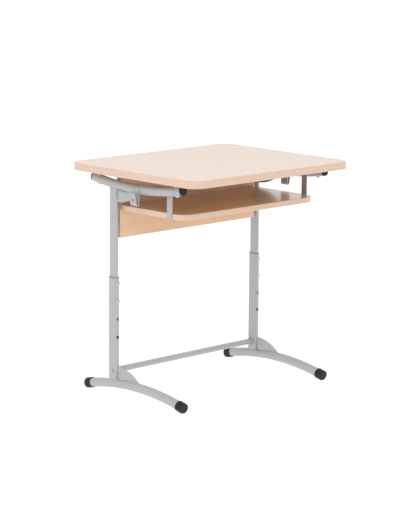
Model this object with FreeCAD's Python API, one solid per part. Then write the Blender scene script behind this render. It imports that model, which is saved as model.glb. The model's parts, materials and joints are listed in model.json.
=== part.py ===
import FreeCAD, Part
import math
import os

# School desk with a height adjustable frame, all lengths in millimetres.
# X runs from the sitter's left to the right, Y from the sitter to the back, Z up.
# The origin lies on the floor below the middle of the tabletop.
# Left means the side of negative X.

# Tabletop
TABLE_WIDTH = 728.0
TABLE_DEPTH = 604.0
TABLE_HEIGHT = 760.0
TABLE_THICKNESS = 25.0
TABLE_CORNER_RADIUS = 50.0
TABLE_BAND = 3.0
TABLE_EDGE_ROUNDING = 2.5
LAMINATE = 0.8

# Shelf
SHELF_DEPTH = 297.0
SHELF_THICKNESS = 18.0
SHELF_CLEAR_HEIGHT = 100.5
SHELF_REAR_GAP = 0.5
SHELF_CORNER_RADIUS = 50.0
SHELF_REAR_CORNER_RADIUS = 6.0
SHELF_BAND = 2.0
SHELF_EDGE_ROUNDING = 1.5

# Modesty panel
PANEL_SIDE_GAP = 8.0
PANEL_AHEAD = 12.0
PANEL_HEIGHT = 200.0
PANEL_THICKNESS = 16.0
PANEL_TOP_GAP = 10.0
PANEL_CORNER_RADIUS = 3.0
PANEL_BAND = 2.0
PANEL_EDGE_ROUNDING = 1.0

# Posts
POST_SIDE_MARGIN = 37.0
POST_REAR_MARGIN = 187.0
POST_WALL = 1.5
LOWER_POST_DEPTH = 40.0
LOWER_POST_WIDTH = 20.0
LOWER_POST_TOP = 394.0
UPPER_POST_DEPTH = 35.0
UPPER_POST_WIDTH = 15.0
UPPER_POST_OVERLAP = 134.0
VENT_HOLE_RADIUS = 2.0
VENT_HOLE_DROP = 139.0

# Height holes, bolts and nuts
HEIGHT_HOLE_COUNT = 4
HEIGHT_BOLT_COUNT = 2
HEIGHT_HOLE_PITCH = 60.0
HEIGHT_HOLE_TOP_MARGIN = 18.0
HEIGHT_BOLT_RADIUS = 4.0
HEIGHT_BOLT_HEAD_RADIUS = 7.0
HEIGHT_BOLT_HEAD_HEIGHT = 2.5
HEIGHT_BOLT_HEAD_ROUNDING = 1.0
HEIGHT_BOLT_SOCKET_RADIUS = 2.9
HEIGHT_BOLT_SOCKET_DEPTH = 3.0
HEIGHT_BOLT_HOLE_CLEARANCE = 1.3
HEIGHT_BOLT_TIP_CLEARANCE = 0.4
HEIGHT_NUT_RADIUS = 5.5
HEIGHT_NUT_LENGTH = 13.0

# Guides between the two posts
GUIDE_CLEARANCE = 0.1
GUIDE_BUSH_DEPTH = 12.0
GUIDE_BUSH_LIP = 2.0
GUIDE_BUSH_LIP_ROUNDING = 0.6
GLIDE_PLUG_DEPTH = 20.0
GLIDE_FLANGE = 8.0

# Foot tube and its caps
FOOT_BEND_RADIUS = 980.0
FOOT_TUBE_RADIUS = 15.0
FOOT_TUBE_WALL = 2.0
FOOT_FRONT_MARGIN = 81.0
FOOT_REAR_MARGIN = 58.0
FOOT_CAP_WALL = 2.5
FOOT_CAP_COVER = 24.0
FOOT_CAP_END = 4.0
FOOT_CAP_ROUNDING = 3.5
FOOT_CAP_SOLE = 2.5

# Gussets, one form for the foot and the top
GUSSET_RADIUS = 150.0
GUSSET_REACH = 105.0
GUSSET_HEIGHT = 57.0
GUSSET_THICKNESS = 4.0
GUSSET_TUBE_SLIT_LENGTH = 48.0
GUSSET_SLIT_WIDTH = 2.0
GUSSET_SLIT_END = 12.0

# Crossbar
CROSSBAR_DEPTH = 30.0
CROSSBAR_THICKNESS = 15.0
CROSSBAR_WALL = 1.5
CROSSBAR_HEIGHT = 81.0
CROSSBAR_INSERT_LENGTH = 22.0
CROSSBAR_BOLT_RADIUS = 4.0
CROSSBAR_BOLT_REACH = 18.0
CROSSBAR_BOLT_HEAD_RADIUS = 6.5
CROSSBAR_BOLT_HEAD_HEIGHT = 4.5
CROSSBAR_BOLT_HEAD_ROUNDING = 1.8
CROSSBAR_BOLT_SOCKET_RADIUS = 2.6
CROSSBAR_BOLT_SOCKET_DEPTH = 2.5
CROSSBAR_BOLT_HOLE_CLEARANCE = 0.25
CROSSBAR_WASHER_RADIUS = 8.0
CROSSBAR_WASHER_THICKNESS = 1.6

# Top arc and its plugs
ARC_BEND_RADIUS = 1200.0
ARC_TUBE_RADIUS = 15.0
ARC_TUBE_WALL = 1.5
ARC_END_MARGIN = 94.0
ARC_END_GAP = 2.7
ARC_PLUG_HEAD = 5.0
ARC_PLUG_ROUNDING = 2.5
ARC_PLUG_SCREW_GAP = 4.0

# Tabletop screws and spacers
TABLE_SCREW_END_MARGIN = 23.0
TABLE_SCREW_RADIUS = 3.0
TABLE_SCREW_HEAD_RADIUS = 6.0
TABLE_SCREW_HEAD_HEIGHT = 4.0
TABLE_SCREW_HEAD_ROUNDING = 1.5
TABLE_SCREW_BITE = 15.0
TABLE_SCREW_HOLE_CLEARANCE = 0.2
SPACER_RADIUS = 10.0

# Flat steel: straps, angles, lugs and hooks
STRAP_THICKNESS = 3.0
STRAP_WIDTH = 23.0
STRAP_SETBACK = 61.0
STRAP_FOOT = 34.0
STRAP_TOP_RISE = 6.0
STRAP_CORNER_RADIUS = 4.0
STRAP_BEND_RADIUS = 1.5
WELD_SINK = 0.6
ANGLE_SPACING = 300.0
ANGLE_LENGTH = 40.0
ANGLE_THICKNESS = 2.0
ANGLE_SHELF_LEG = 42.0
ANGLE_PANEL_LEG = 26.0
ANGLE_BEND_RADIUS = 2.0
LUG_THICKNESS = 3.0
LUG_HEIGHT = 30.0
LUG_INNER_REACH = 42.0
LUG_CORNER_RADIUS = 5.0
LUG_END_MARGIN = 40.0
HOOK_THICKNESS = 3.5
HOOK_WIDTH = 28.0
HOOK_AHEAD = 124.0
HOOK_DROP = 51.0
HOOK_SIDE_MARGIN = 2.0
HOOK_WELD_RISE = 7.0
HOOK_BEND_RADIUS = 3.0
HOOK_LIP_HEIGHT = 43.0
HOOK_CORNER_RADIUS = 6.0
HOOK_HOLE_RADIUS = 5.0
HOOK_HOLE_HEIGHT = 20.0

# Small screws of the shelf and the panel
SCREW_RADIUS = 2.0
SCREW_HEAD_RADIUS = 4.0
SCREW_HEAD_HEIGHT = 2.4
SCREW_HEAD_ROUNDING = 1.0
SCREW_BITE = 11.0
SCREW_EDGE_MARGIN = 7.0
SCREW_SOCKET_RADIUS = 1.4
SCREW_SOCKET_DEPTH = 1.2

# Extra length of every cutting tool, and how near an edge must be to its place to be picked
OVERRUN = 5.0
EDGE_TOLERANCE = 0.5

# Places worked out from the sizes above
POST_X = TABLE_WIDTH / 2 - POST_SIDE_MARGIN
POST_Y = TABLE_DEPTH / 2 - POST_REAR_MARGIN
TABLE_UNDERSIDE = TABLE_HEIGHT - TABLE_THICKNESS
LOWER_POST_FRONT = POST_Y - LOWER_POST_DEPTH / 2
UPPER_POST_FRONT = POST_Y - UPPER_POST_DEPTH / 2
UPPER_POST_BOTTOM = LOWER_POST_TOP - UPPER_POST_OVERLAP
HEIGHT_HOLE_TOP = LOWER_POST_TOP - HEIGHT_HOLE_TOP_MARGIN
CROSSBAR_END = POST_X - LOWER_POST_WIDTH / 2

FOOT_FRONT = FOOT_FRONT_MARGIN - TABLE_DEPTH / 2
FOOT_REAR = TABLE_DEPTH / 2 - FOOT_REAR_MARGIN
FOOT_APEX_Y = (FOOT_FRONT + FOOT_REAR) / 2
FOOT_CAP_RADIUS = FOOT_TUBE_RADIUS + FOOT_CAP_WALL
FOOT_END_TURN = math.asin((FOOT_REAR + FOOT_CAP_END - FOOT_APEX_Y) / FOOT_BEND_RADIUS)
FOOT_DROP = FOOT_BEND_RADIUS * (1 - math.cos(FOOT_END_TURN))
FOOT_APEX_HEIGHT = FOOT_DROP + FOOT_CAP_RADIUS * math.cos(FOOT_END_TURN) - FOOT_CAP_SOLE

ARC_BORE_RADIUS = ARC_TUBE_RADIUS - ARC_TUBE_WALL
ARC_REACH = TABLE_DEPTH / 2 - ARC_END_MARGIN
ARC_SAG = ARC_BEND_RADIUS - math.sqrt(ARC_BEND_RADIUS ** 2 - ARC_REACH ** 2)
ARC_APEX_HEIGHT = TABLE_UNDERSIDE - ARC_END_GAP - ARC_TUBE_RADIUS - ARC_SAG
ARC_PLUG_DEPTH = TABLE_SCREW_END_MARGIN - TABLE_SCREW_RADIUS - ARC_PLUG_SCREW_GAP
ARC_INNER_SIDE = POST_X - ARC_TUBE_RADIUS
ARC_OUTER_SIDE = POST_X + ARC_TUBE_RADIUS

STRAP_OUTER_FACE = ARC_INNER_SIDE + WELD_SINK
SHELF_HALF_WIDTH = STRAP_OUTER_FACE - STRAP_THICKNESS

PANEL_HALF_WIDTH = POST_X - UPPER_POST_WIDTH / 2 - PANEL_SIDE_GAP
PANEL_FRONT = POST_Y - PANEL_AHEAD
PANEL_REAR = PANEL_FRONT + PANEL_THICKNESS
PANEL_TOP = TABLE_UNDERSIDE - PANEL_TOP_GAP
PANEL_BOTTOM = PANEL_TOP - PANEL_HEIGHT

SHELF_REAR = PANEL_FRONT - SHELF_REAR_GAP
SHELF_FRONT = SHELF_REAR - SHELF_DEPTH
SHELF_TOP = TABLE_UNDERSIDE - SHELF_CLEAR_HEIGHT
SHELF_UNDERSIDE = SHELF_TOP - SHELF_THICKNESS
STRAP_MIDDLE = SHELF_FRONT + STRAP_SETBACK
HOOK_MIDDLE = POST_Y - HOOK_AHEAD

SIDES = {"left": -1, "right": 1}
ORIGIN = FreeCAD.Vector(0, 0, 0)
X_AXIS = FreeCAD.Vector(1, 0, 0)
Y_AXIS = FreeCAD.Vector(0, 1, 0)
Z_AXIS = FreeCAD.Vector(0, 0, 1)


def vec(x, y, z):
    return FreeCAD.Vector(x, y, z)


def save(name, shape):
    shape.exportStep("parts/" + name + ".step")
    print(name, "solids", len(shape.Solids), "valid", shape.isValid(), "volume", round(shape.Volume))


def group(shapes):
    return Part.makeCompound(shapes)


def mirrored(shape, side):
    # A piece drawn for the right side, moved to the side asked for.
    if side > 0:
        return shape
    return shape.mirror(ORIGIN, X_AXIS)


def rod(radius, start, direction, length):
    return Part.makeCylinder(radius, length, start, direction)


def block(low, high):
    size = high - low
    return Part.makeBox(size.x, size.y, size.z, low)


def turned(shape, base, direction):
    # A piece drawn along +Z from the origin, set at a place along a direction.
    placed = shape.copy()
    placed.Placement = FreeCAD.Placement(base, FreeCAD.Rotation(Z_AXIS, direction))
    return placed


# Flat-oval sections: two half circles joined by flats

def flat_oval_face(depth, width):
    # Long side along Y, in the plane Z = 0, centred on the origin.
    radius = width / 2
    flat = depth / 2 - radius
    front_arc = Part.Arc(vec(-radius, -flat, 0), vec(0, -flat - radius, 0), vec(radius, -flat, 0))
    rear_arc = Part.Arc(vec(radius, flat, 0), vec(0, flat + radius, 0), vec(-radius, flat, 0))
    right_flat = Part.LineSegment(vec(radius, -flat, 0), vec(radius, flat, 0))
    left_flat = Part.LineSegment(vec(-radius, flat, 0), vec(-radius, -flat, 0))
    edges = [front_arc, right_flat, rear_arc, left_flat]
    return Part.Face(Part.Wire([edge.toShape() for edge in edges]))


def oval_post(x, depth, width, bottom, top):
    face = flat_oval_face(depth, width)
    face.translate(vec(x, POST_Y, bottom))
    return face.extrude(vec(0, 0, top - bottom))


def oval_crossbar(depth, thickness, start, end):
    face = flat_oval_face(depth, thickness)
    face.rotate(ORIGIN, Y_AXIS, 90)
    face.translate(vec(start, POST_Y, CROSSBAR_HEIGHT))
    return face.extrude(vec(end - start, 0, 0))


# Bent round rods: a circle swept about the centre of the bend.
# A positive bend arches upwards, a negative one hangs down.

def bend_turn(bend, apex_y, y):
    return math.degrees(math.asin((apex_y - y) / bend))


def bent_rod(x, apex_y, apex_z, bend, radius, first_y, last_y):
    circle = Part.makeCircle(radius, vec(x, apex_y, apex_z), Y_AXIS)
    face = Part.Face(Part.Wire([circle]))
    centre = vec(x, apex_y, apex_z - bend)
    turns = sorted([bend_turn(bend, apex_y, first_y), bend_turn(bend, apex_y, last_y)])
    face.rotate(centre, X_AXIS, turns[0])
    return face.revolve(centre, X_AXIS, turns[1] - turns[0])


def bend_height(apex_y, apex_z, bend, y):
    rise = math.sqrt(bend ** 2 - (y - apex_y) ** 2)
    return apex_z - bend + math.copysign(rise, bend)


def foot_rod(x, radius, first_y, last_y):
    return bent_rod(x, FOOT_APEX_Y, FOOT_APEX_HEIGHT, FOOT_BEND_RADIUS, radius, first_y, last_y)


def foot_height(y):
    return bend_height(FOOT_APEX_Y, FOOT_APEX_HEIGHT, FOOT_BEND_RADIUS, y)


def arc_rod(x, radius, first_y, last_y):
    return bent_rod(x, 0, ARC_APEX_HEIGHT, -ARC_BEND_RADIUS, radius, first_y, last_y)


def arc_height(y):
    return bend_height(0, ARC_APEX_HEIGHT, -ARC_BEND_RADIUS, y)


def end_edges(shape, y, radius):
    # The round edge of a bent rod's end face at a given place along Y.
    found = []
    for edge in shape.Edges:
        if edge.Curve.TypeId == "Part::GeomCircle" and abs(edge.Curve.Radius - radius) < radius / 100:
            if abs(edge.Curve.Center.y - y) < radius / 10:
                found.append(edge)
    return found


# Boards: a core inset by its edge band

def rounded_outline(half_width, low, high, low_radius, high_radius):
    # A flat outline in the plane Z = 0 with round corners, low and high along Y.
    diagonal = math.sqrt(0.5)
    corners = [
        (-half_width, low, 1, 1, low_radius),
        (half_width, low, -1, 1, low_radius),
        (half_width, high, -1, -1, high_radius),
        (-half_width, high, 1, -1, high_radius),
    ]
    arcs = []
    for x, y, inward_x, inward_y, radius in corners:
        centre = vec(x + inward_x * radius, y + inward_y * radius, 0)
        on_y_side = centre + vec(-inward_x * radius, 0, 0)
        on_x_side = centre + vec(0, -inward_y * radius, 0)
        middle = centre + vec(-inward_x * radius * diagonal, -inward_y * radius * diagonal, 0)
        ends = [on_y_side, on_x_side]
        if inward_x * inward_y < 0:
            ends.reverse()
        arcs.append((ends[0], middle, ends[1]))
    edges = []
    for index, arc in enumerate(arcs):
        following = arcs[(index + 1) % len(arcs)]
        edges.append(Part.Arc(*arc).toShape())
        edges.append(Part.LineSegment(arc[2], following[0]).toShape())
    return Part.Face(Part.Wire(edges))


def slab(half_width, low, high, low_radius, high_radius, bottom, top):
    face = rounded_outline(half_width, low, high, low_radius, high_radius)
    face.translate(vec(0, 0, bottom))
    return face.extrude(vec(0, 0, top - bottom))


def rim_edges(shape):
    # The edges of a slab's outline, where its top and bottom faces end.
    return [edge for edge in shape.Edges if edge.BoundBox.ZLength < EDGE_TOLERANCE]


def board(half_width, low, high, low_radius, high_radius, bottom, top, band, rounding):
    # Returns the core and the edge band round it.
    whole = slab(half_width, low, high, low_radius, high_radius, bottom, top)
    whole = whole.makeFillet(rounding, rim_edges(whole))
    inner = [half_width - band, low + band, high - band, low_radius - band, high_radius - band]
    core = slab(*inner, bottom, top)
    return core, whole.cut(slab(*inner, bottom - OVERRUN, top + OVERRUN))


def table_boards():
    half = TABLE_WIDTH / 2
    front = -TABLE_DEPTH / 2
    radius = TABLE_CORNER_RADIUS
    shape = [half, front, -front, radius, radius]
    core, band = board(*shape, TABLE_UNDERSIDE, TABLE_HEIGHT, TABLE_BAND, TABLE_EDGE_ROUNDING)
    under_top = TABLE_HEIGHT - LAMINATE
    over_bottom = TABLE_UNDERSIDE + LAMINATE
    wide = vec(half, -front, 0)
    top = core.common(block(-wide + vec(0, 0, under_top), wide + vec(0, 0, TABLE_HEIGHT)))
    bottom = core.common(block(-wide + vec(0, 0, TABLE_UNDERSIDE), wide + vec(0, 0, over_bottom)))
    middle = core.common(block(-wide + vec(0, 0, over_bottom), wide + vec(0, 0, under_top)))
    for screw in table_screw_shanks():
        bottom = bottom.cut(screw)
        middle = middle.cut(screw)
    return {
        "tabletop_core": middle,
        "tabletop_top_laminate": top,
        "tabletop_bottom_laminate": bottom,
        "tabletop_edge_band": band,
    }


def shelf_boards():
    shape = [SHELF_HALF_WIDTH, SHELF_FRONT, SHELF_REAR, SHELF_CORNER_RADIUS, SHELF_REAR_CORNER_RADIUS]
    core, band = board(*shape, SHELF_UNDERSIDE, SHELF_TOP, SHELF_BAND, SHELF_EDGE_ROUNDING)
    for base, direction in shelf_screw_places():
        core = core.cut(rod(SCREW_RADIUS, base, direction, SCREW_BITE))
    return {"shelf_board": core, "shelf_edge_band": band}


def panel_boards():
    # Drawn lying down with its height along Y, then stood up.
    radius = PANEL_CORNER_RADIUS
    shape = [PANEL_HALF_WIDTH, 0, PANEL_HEIGHT, radius, radius]
    pieces = board(*shape, 0, PANEL_THICKNESS, PANEL_BAND, PANEL_EDGE_ROUNDING)
    stood = []
    for piece in pieces:
        piece.rotate(ORIGIN, X_AXIS, 90)
        piece.translate(vec(0, PANEL_REAR, PANEL_BOTTOM))
        stood.append(piece)
    core = stood[0]
    for base, direction in panel_screw_places():
        core = core.cut(rod(SCREW_RADIUS, base, direction, SCREW_BITE))
    return {"modesty_panel": core, "modesty_edge_band": stood[1]}


# Screws and bolts, drawn along +Z with the head below the origin

def hex_prism(radius, height):
    points = []
    for step in range(7):
        turn = math.radians(60 * step)
        points.append(vec(radius * math.cos(turn), radius * math.sin(turn), 0))
    return Part.Face(Part.makePolygon(points)).extrude(vec(0, 0, height))


def screw(head_radius, head_height, rounding, radius, length, socket_radius, socket_depth):
    head = rod(head_radius, vec(0, 0, -head_height), Z_AXIS, head_height)
    outer_rim = [edge for edge in head.Edges if edge.BoundBox.ZMax < -head_height / 2]
    head = head.makeFillet(rounding, outer_rim)
    socket = hex_prism(socket_radius, socket_depth)
    socket.translate(vec(0, 0, -head_height))
    return head.cut(socket).fuse(rod(radius, ORIGIN, Z_AXIS, length)).removeSplitter()


def small_screw(plate):
    # The shank passes the plate before it bites into the board.
    return screw(SCREW_HEAD_RADIUS, SCREW_HEAD_HEIGHT, SCREW_HEAD_ROUNDING, SCREW_RADIUS,
                 SCREW_BITE + plate, SCREW_SOCKET_RADIUS, SCREW_SOCKET_DEPTH)


def small_screws(places, plate):
    # Each place is on the board's face, and the head sits on the plate in front of it.
    return [turned(small_screw(plate), base - direction * plate, direction) for base, direction in places]


# Lower frame

def foot_tube(side):
    x = side * POST_X
    outer = foot_rod(x, FOOT_TUBE_RADIUS, FOOT_FRONT, FOOT_REAR)
    bore = foot_rod(x, FOOT_TUBE_RADIUS - FOOT_TUBE_WALL, FOOT_FRONT - OVERRUN, FOOT_REAR + OVERRUN)
    return outer.cut(bore)


def foot_cap(side, end):
    # End is -1 at the front and 1 at the rear.
    x = side * POST_X
    tube_end = FOOT_REAR if end > 0 else FOOT_FRONT
    inner_y = tube_end - end * FOOT_CAP_COVER
    outer_y = tube_end + end * FOOT_CAP_END
    outer = foot_rod(x, FOOT_CAP_RADIUS, inner_y, outer_y)
    outer = outer.makeFillet(FOOT_CAP_ROUNDING, end_edges(outer, outer_y, FOOT_CAP_RADIUS))
    bore = foot_rod(x, FOOT_TUBE_RADIUS, inner_y - end * OVERRUN, tube_end)
    low = vec(x - FOOT_CAP_RADIUS - OVERRUN, min(inner_y, outer_y) - OVERRUN, -FOOT_CAP_RADIUS)
    high = vec(x + FOOT_CAP_RADIUS + OVERRUN, max(inner_y, outer_y) + OVERRUN, 0)
    return outer.cut(bore).cut(block(low, high))


def height_hole_heights():
    return [HEIGHT_HOLE_TOP - HEIGHT_HOLE_PITCH * step for step in range(HEIGHT_HOLE_COUNT)]


def height_bolt_heights():
    return height_hole_heights()[:HEIGHT_BOLT_COUNT]


def lower_post(side):
    x = side * POST_X
    seat = foot_height(POST_Y)
    outer = oval_post(x, LOWER_POST_DEPTH, LOWER_POST_WIDTH, seat, LOWER_POST_TOP)
    bore_depth = LOWER_POST_DEPTH - 2 * POST_WALL
    bore_width = LOWER_POST_WIDTH - 2 * POST_WALL
    bore = oval_post(x, bore_depth, bore_width, seat - OVERRUN, LOWER_POST_TOP + OVERRUN)
    post = outer.cut(bore).cut(foot_rod(x, FOOT_TUBE_RADIUS, FOOT_FRONT, FOOT_REAR))
    hole_radius = HEIGHT_BOLT_RADIUS + HEIGHT_BOLT_HOLE_CLEARANCE
    for height in height_hole_heights():
        start = vec(x, LOWER_POST_FRONT - OVERRUN, height)
        post = post.cut(rod(hole_radius, start, Y_AXIS, OVERRUN + LOWER_POST_WIDTH / 2))
    bolt_hole = CROSSBAR_BOLT_RADIUS + CROSSBAR_BOLT_HOLE_CLEARANCE
    start = vec(x - LOWER_POST_WIDTH, POST_Y, CROSSBAR_HEIGHT)
    return post.cut(rod(bolt_hole, start, X_AXIS, 2 * LOWER_POST_WIDTH))


def gusset(x, post_front, tube_height, towards, tube, tube_slit):
    # A plate between a post's front and a tube, with a round free edge.
    # Its free edge starts level at the post and bends towards the tube.
    # Towards is 1 where the tube lies above the free edge, and -1 where it lies below.
    edge_height = tube_height - towards * GUSSET_HEIGHT
    half_turn = math.asin(GUSSET_REACH / GUSSET_RADIUS) / 2
    full_turn = 2 * half_turn

    def on_edge(turn):
        rise = GUSSET_RADIUS * (1 - math.cos(turn))
        return vec(x, post_front - GUSSET_RADIUS * math.sin(turn), edge_height + towards * rise)

    start = on_edge(0)
    tip = on_edge(full_turn)
    root = vec(x, post_front, tube_height)
    edges = [Part.Arc(start, on_edge(half_turn), tip).toShape()]
    edges.append(Part.LineSegment(tip, root).toShape())
    edges.append(Part.LineSegment(root, start).toShape())
    face = Part.Face(Part.Wire(edges))
    face.translate(vec(-GUSSET_THICKNESS / 2, 0, 0))
    plate = face.extrude(vec(GUSSET_THICKNESS, 0, 0)).cut(tube)
    return plate.cut(post_slit(x, post_front, edge_height, towards)).cut(tube_slit)


def post_slit(x, post_front, edge_height, towards):
    # A narrow gap along the post. The plate is welded to the post only at its free edge.
    heights = [edge_height + towards * GUSSET_SLIT_END, edge_height + towards * GUSSET_HEIGHT]
    low = vec(x - GUSSET_THICKNESS, post_front - GUSSET_SLIT_WIDTH, min(heights))
    high = vec(x + GUSSET_THICKNESS, post_front + OVERRUN, max(heights))
    return block(low, high)


def foot_gusset(side):
    x = side * POST_X
    tube = foot_rod(x, FOOT_TUBE_RADIUS, FOOT_FRONT, FOOT_REAR)
    slit_start = LOWER_POST_FRONT - GUSSET_TUBE_SLIT_LENGTH
    slit = foot_rod(x, FOOT_TUBE_RADIUS + GUSSET_SLIT_WIDTH, slit_start, POST_Y)
    return gusset(x, LOWER_POST_FRONT, foot_height(LOWER_POST_FRONT), -1, tube, slit)


def crossbar():
    outer = oval_crossbar(CROSSBAR_DEPTH, CROSSBAR_THICKNESS, -CROSSBAR_END, CROSSBAR_END)
    bore_depth = CROSSBAR_DEPTH - 2 * CROSSBAR_WALL
    bore_thickness = CROSSBAR_THICKNESS - 2 * CROSSBAR_WALL
    reach = CROSSBAR_END + OVERRUN
    return outer.cut(oval_crossbar(bore_depth, bore_thickness, -reach, reach))


def crossbar_inserts():
    bore_depth = CROSSBAR_DEPTH - 2 * CROSSBAR_WALL
    bore_thickness = CROSSBAR_THICKNESS - 2 * CROSSBAR_WALL
    start = CROSSBAR_END - CROSSBAR_INSERT_LENGTH
    insert = oval_crossbar(bore_depth, bore_thickness, start, CROSSBAR_END)
    hole_start = vec(start - OVERRUN, POST_Y, CROSSBAR_HEIGHT)
    hole = rod(CROSSBAR_BOLT_RADIUS, hole_start, X_AXIS, CROSSBAR_INSERT_LENGTH + 2 * OVERRUN)
    insert = insert.cut(hole)
    return group([mirrored(insert, side) for side in SIDES.values()])


def crossbar_washers():
    face_x = POST_X + LOWER_POST_WIDTH / 2
    start = vec(face_x, POST_Y, CROSSBAR_HEIGHT)
    disc = rod(CROSSBAR_WASHER_RADIUS, start, X_AXIS, CROSSBAR_WASHER_THICKNESS)
    hole_radius = CROSSBAR_BOLT_RADIUS + CROSSBAR_BOLT_HOLE_CLEARANCE
    ring = disc.cut(rod(hole_radius, start, X_AXIS, CROSSBAR_WASHER_THICKNESS + OVERRUN))
    return group([mirrored(ring, side) for side in SIDES.values()])


def crossbar_bolts():
    length = CROSSBAR_WASHER_THICKNESS + LOWER_POST_WIDTH + CROSSBAR_BOLT_REACH
    bolt = screw(CROSSBAR_BOLT_HEAD_RADIUS, CROSSBAR_BOLT_HEAD_HEIGHT, CROSSBAR_BOLT_HEAD_ROUNDING,
                 CROSSBAR_BOLT_RADIUS, length, CROSSBAR_BOLT_SOCKET_RADIUS, CROSSBAR_BOLT_SOCKET_DEPTH)
    seat = POST_X + LOWER_POST_WIDTH / 2 + CROSSBAR_WASHER_THICKNESS
    bolt = turned(bolt, vec(seat, POST_Y, CROSSBAR_HEIGHT), -X_AXIS)
    return group([mirrored(bolt, side) for side in SIDES.values()])


def guide_bush(side):
    x = side * POST_X
    bore_depth = LOWER_POST_DEPTH - 2 * POST_WALL
    bore_width = LOWER_POST_WIDTH - 2 * POST_WALL
    lip_top = LOWER_POST_TOP + GUIDE_BUSH_LIP
    sleeve = oval_post(x, bore_depth, bore_width, LOWER_POST_TOP - GUIDE_BUSH_DEPTH, lip_top)
    lip = oval_post(x, LOWER_POST_DEPTH, LOWER_POST_WIDTH, LOWER_POST_TOP, lip_top)
    top_rim = [edge for edge in lip.Edges if edge.BoundBox.ZMin > LOWER_POST_TOP + GUIDE_BUSH_LIP / 2]
    lip = lip.makeFillet(GUIDE_BUSH_LIP_ROUNDING, top_rim)
    guide_depth = UPPER_POST_DEPTH + 2 * GUIDE_CLEARANCE
    guide_width = UPPER_POST_WIDTH + 2 * GUIDE_CLEARANCE
    bottom = LOWER_POST_TOP - GUIDE_BUSH_DEPTH - OVERRUN
    passage = oval_post(x, guide_depth, guide_width, bottom, lip_top + OVERRUN)
    return sleeve.fuse(lip).removeSplitter().cut(passage)


def height_bolts():
    # Each bolt is drawn through the outer wall only, and ends just short of the upper post.
    reach = UPPER_POST_FRONT - HEIGHT_BOLT_TIP_CLEARANCE - LOWER_POST_FRONT
    bolt = screw(HEIGHT_BOLT_HEAD_RADIUS, HEIGHT_BOLT_HEAD_HEIGHT, HEIGHT_BOLT_HEAD_ROUNDING,
                 HEIGHT_BOLT_RADIUS, reach, HEIGHT_BOLT_SOCKET_RADIUS, HEIGHT_BOLT_SOCKET_DEPTH)
    bolts = []
    for side in SIDES.values():
        for height in height_bolt_heights():
            bolts.append(turned(bolt, vec(side * POST_X, LOWER_POST_FRONT, height), Y_AXIS))
    return group(bolts)


# Upper frame

def upper_post(side):
    x = side * POST_X
    seat = arc_height(POST_Y)
    outer = oval_post(x, UPPER_POST_DEPTH, UPPER_POST_WIDTH, UPPER_POST_BOTTOM, seat)
    bore_depth = UPPER_POST_DEPTH - 2 * POST_WALL
    bore_width = UPPER_POST_WIDTH - 2 * POST_WALL
    bore = oval_post(x, bore_depth, bore_width, UPPER_POST_BOTTOM - OVERRUN, seat + OVERRUN)
    post = outer.cut(bore).cut(arc_rod(x, ARC_TUBE_RADIUS, -ARC_REACH, ARC_REACH))
    for height in height_bolt_heights():
        start = vec(x, UPPER_POST_FRONT - OVERRUN, height)
        post = post.cut(rod(HEIGHT_NUT_RADIUS, start, Y_AXIS, OVERRUN + UPPER_POST_WIDTH / 2))
    vent = vec(x, POST_Y, TABLE_UNDERSIDE - VENT_HOLE_DROP)
    return post.cut(rod(VENT_HOLE_RADIUS, vent, X_AXIS * side, OVERRUN + UPPER_POST_WIDTH / 2))


def height_nuts():
    nuts = []
    for side in SIDES.values():
        x = side * POST_X
        outer = oval_post(x, UPPER_POST_DEPTH, UPPER_POST_WIDTH, UPPER_POST_BOTTOM, LOWER_POST_TOP)
        for height in height_bolt_heights():
            body = rod(HEIGHT_NUT_RADIUS, vec(x, UPPER_POST_FRONT, height), Y_AXIS, HEIGHT_NUT_LENGTH)
            start = vec(x, UPPER_POST_FRONT - OVERRUN, height)
            thread = rod(HEIGHT_BOLT_RADIUS, start, Y_AXIS, HEIGHT_NUT_LENGTH + 2 * OVERRUN)
            nuts.append(body.common(outer).cut(thread))
    return group(nuts)


def post_glide(side):
    x = side * POST_X
    bore_depth = UPPER_POST_DEPTH - 2 * POST_WALL
    bore_width = UPPER_POST_WIDTH - 2 * POST_WALL
    plug_top = UPPER_POST_BOTTOM + GLIDE_PLUG_DEPTH
    plug = oval_post(x, bore_depth, bore_width, UPPER_POST_BOTTOM, plug_top)
    flange_depth = LOWER_POST_DEPTH - 2 * POST_WALL - 2 * GUIDE_CLEARANCE
    flange_width = LOWER_POST_WIDTH - 2 * POST_WALL - 2 * GUIDE_CLEARANCE
    bottom = UPPER_POST_BOTTOM - GLIDE_FLANGE
    flange = oval_post(x, flange_depth, flange_width, bottom, UPPER_POST_BOTTOM)
    return plug.fuse(flange).removeSplitter()


def arc_outer(side):
    return arc_rod(side * POST_X, ARC_TUBE_RADIUS, -ARC_REACH, ARC_REACH)


def arc_ends():
    return {"front": -1, "rear": 1}


def table_screw_ys():
    reach = ARC_REACH - TABLE_SCREW_END_MARGIN
    return [-reach, reach]


def top_arc(side):
    x = side * POST_X
    reach = ARC_REACH + OVERRUN
    tube = arc_outer(side).cut(arc_rod(x, ARC_BORE_RADIUS, -reach, reach))
    hole_radius = TABLE_SCREW_RADIUS + TABLE_SCREW_HOLE_CLEARANCE
    for y in table_screw_ys():
        start = vec(x, y, arc_height(y) - 2 * ARC_TUBE_RADIUS)
        tube = tube.cut(rod(hole_radius, start, Z_AXIS, 4 * ARC_TUBE_RADIUS))
    return tube


def arc_plug(side, end):
    x = side * POST_X
    tube_end = end * ARC_REACH
    head_end = tube_end + end * ARC_PLUG_HEAD
    head = arc_rod(x, ARC_TUBE_RADIUS, tube_end, head_end)
    head = head.makeFillet(ARC_PLUG_ROUNDING, end_edges(head, head_end, ARC_TUBE_RADIUS))
    shank = arc_rod(x, ARC_BORE_RADIUS, tube_end - end * ARC_PLUG_DEPTH, tube_end)
    return head.fuse(shank).removeSplitter()


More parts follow.
